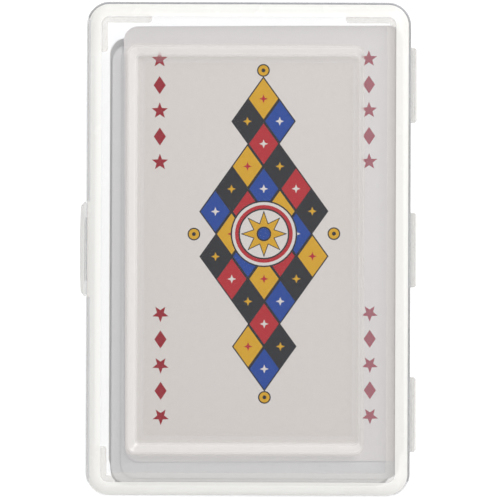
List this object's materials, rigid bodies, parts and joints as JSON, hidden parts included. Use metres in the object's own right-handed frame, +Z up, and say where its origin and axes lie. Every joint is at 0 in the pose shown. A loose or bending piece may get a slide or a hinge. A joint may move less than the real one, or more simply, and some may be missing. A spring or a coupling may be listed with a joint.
{
  "type": "playing card deck",
  "caption": "Deck of playing cards, jokers included, lying loose in a translucent hinged case with a sunk lid panel, three strap hinges and a snap latch.",
  "frame": {"origin": "middle of the tray's flat underside", "axes": "+Z up out of the lid, +X towards the hinge straps, +Y along the cards towards their upper ends"},
  "size_m": [0.0691, 0.1012, 0.0193],
  "materials": {
    "case": "translucent, lightly hazed polypropylene with a soft gloss",
    "card_board": "coated white card with coloured print"
  },
  "bodies": {
    "tray": {"tray": "case", "hinge_straps": "case"},
    "lid": {"lid_wall": "case", "lid_top": "case"},
    "latch_tab": {"latch_tab": "case"},
    "ace_of_spades": {"ace_of_spades": "card_board"},
    "two_of_spades": {"two_of_spades": "card_board"},
    "three_of_spades": {"three_of_spades": "card_board"},
    "four_of_spades": {"four_of_spades": "card_board"},
    "five_of_spades": {"five_of_spades": "card_board"},
    "six_of_spades": {"six_of_spades": "card_board"},
    "seven_of_spades": {"seven_of_spades": "card_board"},
    "eight_of_spades": {"eight_of_spades": "card_board"},
    "nine_of_spades": {"nine_of_spades": "card_board"},
    "ten_of_spades": {"ten_of_spades": "card_board"},
    "jack_of_spades": {"jack_of_spades": "card_board"},
    "queen_of_spades": {"queen_of_spades": "card_board"},
    "king_of_spades": {"king_of_spades": "card_board"},
    "ace_of_hearts": {"ace_of_hearts": "card_board"},
    "two_of_hearts": {"two_of_hearts": "card_board"},
    "three_of_hearts": {"three_of_hearts": "card_board"},
    "four_of_hearts": {"four_of_hearts": "card_board"},
    "five_of_hearts": {"five_of_hearts": "card_board"},
    "six_of_hearts": {"six_of_hearts": "card_board"},
    "seven_of_hearts": {"seven_of_hearts": "card_board"},
    "eight_of_hearts": {"eight_of_hearts": "card_board"},
    "nine_of_hearts": {"nine_of_hearts": "card_board"},
    "ten_of_hearts": {"ten_of_hearts": "card_board"},
    "jack_of_hearts": {"jack_of_hearts": "card_board"},
    "queen_of_hearts": {"queen_of_hearts": "card_board"},
    "king_of_hearts": {"king_of_hearts": "card_board"},
    "ace_of_clubs": {"ace_of_clubs": "card_board"},
    "two_of_clubs": {"two_of_clubs": "card_board"},
    "three_of_clubs": {"three_of_clubs": "card_board"},
    "four_of_clubs": {"four_of_clubs": "card_board"},
    "five_of_clubs": {"five_of_clubs": "card_board"},
    "six_of_clubs": {"six_of_clubs": "card_board"},
    "seven_of_clubs": {"seven_of_clubs": "card_board"},
    "eight_of_clubs": {"eight_of_clubs": "card_board"},
    "nine_of_clubs": {"nine_of_clubs": "card_board"},
    "ten_of_clubs": {"ten_of_clubs": "card_board"},
    "jack_of_clubs": {"jack_of_clubs": "card_board"},
    "queen_of_clubs": {"queen_of_clubs": "card_board"},
    "king_of_clubs": {"king_of_clubs": "card_board"},
    "ace_of_diamonds": {"ace_of_diamonds": "card_board"},
    "two_of_diamonds": {"two_of_diamonds": "card_board"},
    "three_of_diamonds": {"three_of_diamonds": "card_board"},
    "four_of_diamonds": {"four_of_diamonds": "card_board"},
    "five_of_diamonds": {"five_of_diamonds": "card_board"},
    "six_of_diamonds": {"six_of_diamonds": "card_board"},
    "seven_of_diamonds": {"seven_of_diamonds": "card_board"},
    "eight_of_diamonds": {"eight_of_diamonds": "card_board"},
    "nine_of_diamonds": {"nine_of_diamonds": "card_board"},
    "ten_of_diamonds": {"ten_of_diamonds": "card_board"},
    "jack_of_diamonds": {"jack_of_diamonds": "card_board"},
    "queen_of_diamonds": {"queen_of_diamonds": "card_board"},
    "king_of_diamonds": {"king_of_diamonds": "card_board"},
    "plain_joker": {"plain_joker": "card_board"},
    "colour_joker": {"colour_joker": "card_board"}
  },
  "joints": [
    {"name": "case_lid_hinge", "type": "hinge", "parent": "tray", "child": "lid", "pos_m": [0.0339, 0, 0.01253], "axis": [0, 1, 0], "range_deg": [0, 180], "deforming": ["hinge_straps"]},
    {"name": "case_latch_flex", "type": "hinge", "parent": "lid", "child": "latch_tab", "pos_m": [-0.03388, 0, 0.0154], "axis": [0, 1, 0], "range_deg": [0, 12], "stiffness_Nm_per_rad": 0.02},
    {"name": "deck_slide_ace_of_spades", "type": "slide", "parent": "tray", "child": "ace_of_spades", "axis": [0, 1, 0], "range_m": [-0.00079, 0.003]},
    {"name": "deck_slide_two_of_spades", "type": "slide", "parent": "tray", "child": "two_of_spades", "axis": [0, 1, 0], "range_m": [-0.00027, 0.00352]},
    {"name": "deck_slide_three_of_spades", "type": "slide", "parent": "tray", "child": "three_of_spades", "axis": [0, 1, 0], "range_m": [-0.00052, 0.00327]},
    {"name": "deck_slide_four_of_spades", "type": "slide", "parent": "tray", "child": "four_of_spades", "axis": [0, 1, 0], "range_m": [-0.00068, 0.00311]},
    {"name": "deck_slide_five_of_spades", "type": "slide", "parent": "tray", "child": "five_of_spades", "axis": [0, 1, 0], "range_m": [-0.0002, 0.00359]},
    {"name": "deck_slide_six_of_spades", "type": "slide", "parent": "tray", "child": "six_of_spades", "axis": [0, 1, 0], "range_m": [-0.00075, 0.00304]},
    {"name": "deck_slide_seven_of_spades", "type": "slide", "parent": "tray", "child": "seven_of_spades", "axis": [0, 1, 0], "range_m": [-0.00042, 0.00337]},
    {"name": "deck_slide_eight_of_spades", "type": "slide", "parent": "tray", "child": "eight_of_spades", "axis": [0, 1, 0], "range_m": [-0.00036, 0.00343]},
    {"name": "deck_slide_nine_of_spades", "type": "slide", "parent": "tray", "child": "nine_of_spades", "axis": [0, 1, 0], "range_m": [-0.00078, 0.00301]},
    {"name": "deck_slide_ten_of_spades", "type": "slide", "parent": "tray", "child": "ten_of_spades", "axis": [0, 1, 0], "range_m": [-0.00022, 0.00357]},
    {"name": "deck_slide_jack_of_spades", "type": "slide", "parent": "tray", "child": "jack_of_spades", "axis": [0, 1, 0], "range_m": [-0.00062, 0.00317]},
    {"name": "deck_slide_queen_of_spades", "type": "slide", "parent": "tray", "child": "queen_of_spades", "axis": [0, 1, 0], "range_m": [-0.00059, 0.0032]},
    {"name": "deck_slide_king_of_spades", "type": "slide", "parent": "tray", "child": "king_of_spades", "axis": [0, 1, 0], "range_m": [-0.00024, 0.00355]},
    {"name": "deck_slide_ace_of_hearts", "type": "slide", "parent": "tray", "child": "ace_of_hearts", "axis": [0, 1, 0], "range_m": [-0.00079, 0.003]},
    {"name": "deck_slide_two_of_hearts", "type": "slide", "parent": "tray", "child": "two_of_hearts", "axis": [0, 1, 0], "range_m": [-0.00032, 0.00347]},
    {"name": "deck_slide_three_of_hearts", "type": "slide", "parent": "tray", "child": "three_of_hearts", "axis": [0, 1, 0], "range_m": [-0.00046, 0.00333]},
    {"name": "deck_slide_four_of_hearts", "type": "slide", "parent": "tray", "child": "four_of_hearts", "axis": [0, 1, 0], "range_m": [-0.00072, 0.00307]},
    {"name": "deck_slide_five_of_hearts", "type": "slide", "parent": "tray", "child": "five_of_hearts", "axis": [0, 1, 0], "range_m": [-0.0002, 0.00359]},
    {"name": "deck_slide_six_of_hearts", "type": "slide", "parent": "tray", "child": "six_of_hearts", "axis": [0, 1, 0], "range_m": [-0.00071, 0.00308]},
    {"name": "deck_slide_seven_of_hearts", "type": "slide", "parent": "tray", "child": "seven_of_hearts", "axis": [0, 1, 0], "range_m": [-0.00048, 0.00331]},
    {"name": "deck_slide_eight_of_hearts", "type": "slide", "parent": "tray", "child": "eight_of_hearts", "axis": [0, 1, 0], "range_m": [-0.0003, 0.00349]},
    {"name": "deck_slide_nine_of_hearts", "type": "slide", "parent": "tray", "child": "nine_of_hearts", "axis": [0, 1, 0], "range_m": [-0.00079, 0.003]},
    {"name": "deck_slide_ten_of_hearts", "type": "slide", "parent": "tray", "child": "ten_of_hearts", "axis": [0, 1, 0], "range_m": [-0.00025, 0.00354]},
    {"name": "deck_slide_jack_of_hearts", "type": "slide", "parent": "tray", "child": "jack_of_hearts", "axis": [0, 1, 0], "range_m": [-0.00056, 0.00323]},
    {"name": "deck_slide_queen_of_hearts", "type": "slide", "parent": "tray", "child": "queen_of_hearts", "axis": [0, 1, 0], "range_m": [-0.00064, 0.00315]},
    {"name": "deck_slide_king_of_hearts", "type": "slide", "parent": "tray", "child": "king_of_hearts", "axis": [0, 1, 0], "range_m": [-0.00021, 0.00358]},
    {"name": "deck_slide_ace_of_clubs", "type": "slide", "parent": "tray", "child": "ace_of_clubs", "axis": [0, 1, 0], "range_m": [-0.00077, 0.00302]},
    {"name": "deck_slide_two_of_clubs", "type": "slide", "parent": "tray", "child": "two_of_clubs", "axis": [0, 1, 0], "range_m": [-0.00038, 0.00341]},
    {"name": "deck_slide_three_of_clubs", "type": "slide", "parent": "tray", "child": "three_of_clubs", "axis": [0, 1, 0], "range_m": [-0.00039, 0.0034]},
    {"name": "deck_slide_four_of_clubs", "type": "slide", "parent": "tray", "child": "four_of_clubs", "axis": [0, 1, 0], "range_m": [-0.00076, 0.00303]},
    {"name": "deck_slide_five_of_clubs", "type": "slide", "parent": "tray", "child": "five_of_clubs", "axis": [0, 1, 0], "range_m": [-0.00021, 0.00358]},
    {"name": "deck_slide_six_of_clubs", "type": "slide", "parent": "tray", "child": "six_of_clubs", "axis": [0, 1, 0], "range_m": [-0.00066, 0.00313]},
    {"name": "deck_slide_seven_of_clubs", "type": "slide", "parent": "tray", "child": "seven_of_clubs", "axis": [0, 1, 0], "range_m": [-0.00055, 0.00324]},
    {"name": "deck_slide_eight_of_clubs", "type": "slide", "parent": "tray", "child": "eight_of_clubs", "axis": [0, 1, 0], "range_m": [-0.00026, 0.00353]},
    {"name": "deck_slide_nine_of_clubs", "type": "slide", "parent": "tray", "child": "nine_of_clubs", "axis": [0, 1, 0], "range_m": [-0.00079, 0.003]},
    {"name": "deck_slide_ten_of_clubs", "type": "slide", "parent": "tray", "child": "ten_of_clubs", "axis": [0, 1, 0], "range_m": [-0.00029, 0.0035]},
    {"name": "deck_slide_jack_of_clubs", "type": "slide", "parent": "tray", "child": "jack_of_clubs", "axis": [0, 1, 0], "range_m": [-0.0005, 0.0033]},
    {"name": "deck_slide_queen_of_clubs", "type": "slide", "parent": "tray", "child": "queen_of_clubs", "axis": [0, 1, 0], "range_m": [-0.0007, 0.00309]},
    {"name": "deck_slide_king_of_clubs", "type": "slide", "parent": "tray", "child": "king_of_clubs", "axis": [0, 1, 0], "range_m": [-0.0002, 0.00359]},
    {"name": "deck_slide_ace_of_diamonds", "type": "slide", "parent": "tray", "child": "ace_of_diamonds", "axis": [0, 1, 0], "range_m": [-0.00093, 0.00846]},
    {"name": "deck_slide_two_of_diamonds", "type": "slide", "parent": "tray", "child": "two_of_diamonds", "axis": [0, 1, 0], "range_m": [-0.00073, 0.00866]},
    {"name": "deck_slide_three_of_diamonds", "type": "slide", "parent": "tray", "child": "three_of_diamonds", "axis": [0, 1, 0], "range_m": [-0.00072, 0.00867]},
    {"name": "deck_slide_four_of_diamonds", "type": "slide", "parent": "tray", "child": "four_of_diamonds", "axis": [0, 1, 0], "range_m": [-0.00126, 0.00813]},
    {"name": "deck_slide_five_of_diamonds", "type": "slide", "parent": "tray", "child": "five_of_diamonds", "axis": [0, 1, 0], "range_m": [-0.0008, 0.00859]},
    {"name": "deck_slide_six_of_diamonds", "type": "slide", "parent": "tray", "child": "six_of_diamonds", "axis": [0, 1, 0], "range_m": [-0.00126, 0.00813]},
    {"name": "deck_slide_seven_of_diamonds", "type": "slide", "parent": "tray", "child": "seven_of_diamonds", "axis": [0, 1, 0], "range_m": [-0.00136, 0.00803]},
    {"name": "deck_slide_eight_of_diamonds", "type": "slide", "parent": "tray", "child": "eight_of_diamonds", "axis": [0, 1, 0], "range_m": [-0.00106, 0.00833]},
    {"name": "deck_slide_nine_of_diamonds", "type": "slide", "parent": "tray", "child": "nine_of_diamonds", "axis": [0, 1, 0], "range_m": [-0.00171, 0.00768]},
    {"name": "deck_slide_ten_of_diamonds", "type": "slide", "parent": "tray", "child": "ten_of_diamonds", "axis": [0, 1, 0], "range_m": [-0.00137, 0.00802]},
    {"name": "deck_slide_jack_of_diamonds", "type": "slide", "parent": "tray", "child": "jack_of_diamonds", "axis": [0, 1, 0], "range_m": [-0.00155, 0.00784]},
    {"name": "deck_slide_queen_of_diamonds", "type": "slide", "parent": "tray", "child": "queen_of_diamonds", "axis": [0, 1, 0], "range_m": [-0.00195, 0.00744]},
    {"name": "deck_slide_king_of_diamonds", "type": "slide", "parent": "tray", "child": "king_of_diamonds", "axis": [0, 1, 0], "range_m": [-0.0015, 0.00789]},
    {"name": "deck_slide_plain_joker", "type": "slide", "parent": "tray", "child": "plain_joker", "axis": [0, 1, 0], "range_m": [-0.00129, 0.00589]},
    {"name": "deck_slide_colour_joker", "type": "slide", "parent": "tray", "child": "colour_joker", "axis": [0, 1, 0], "range_m": [-0.00389, 0.00239]}
  ]
}
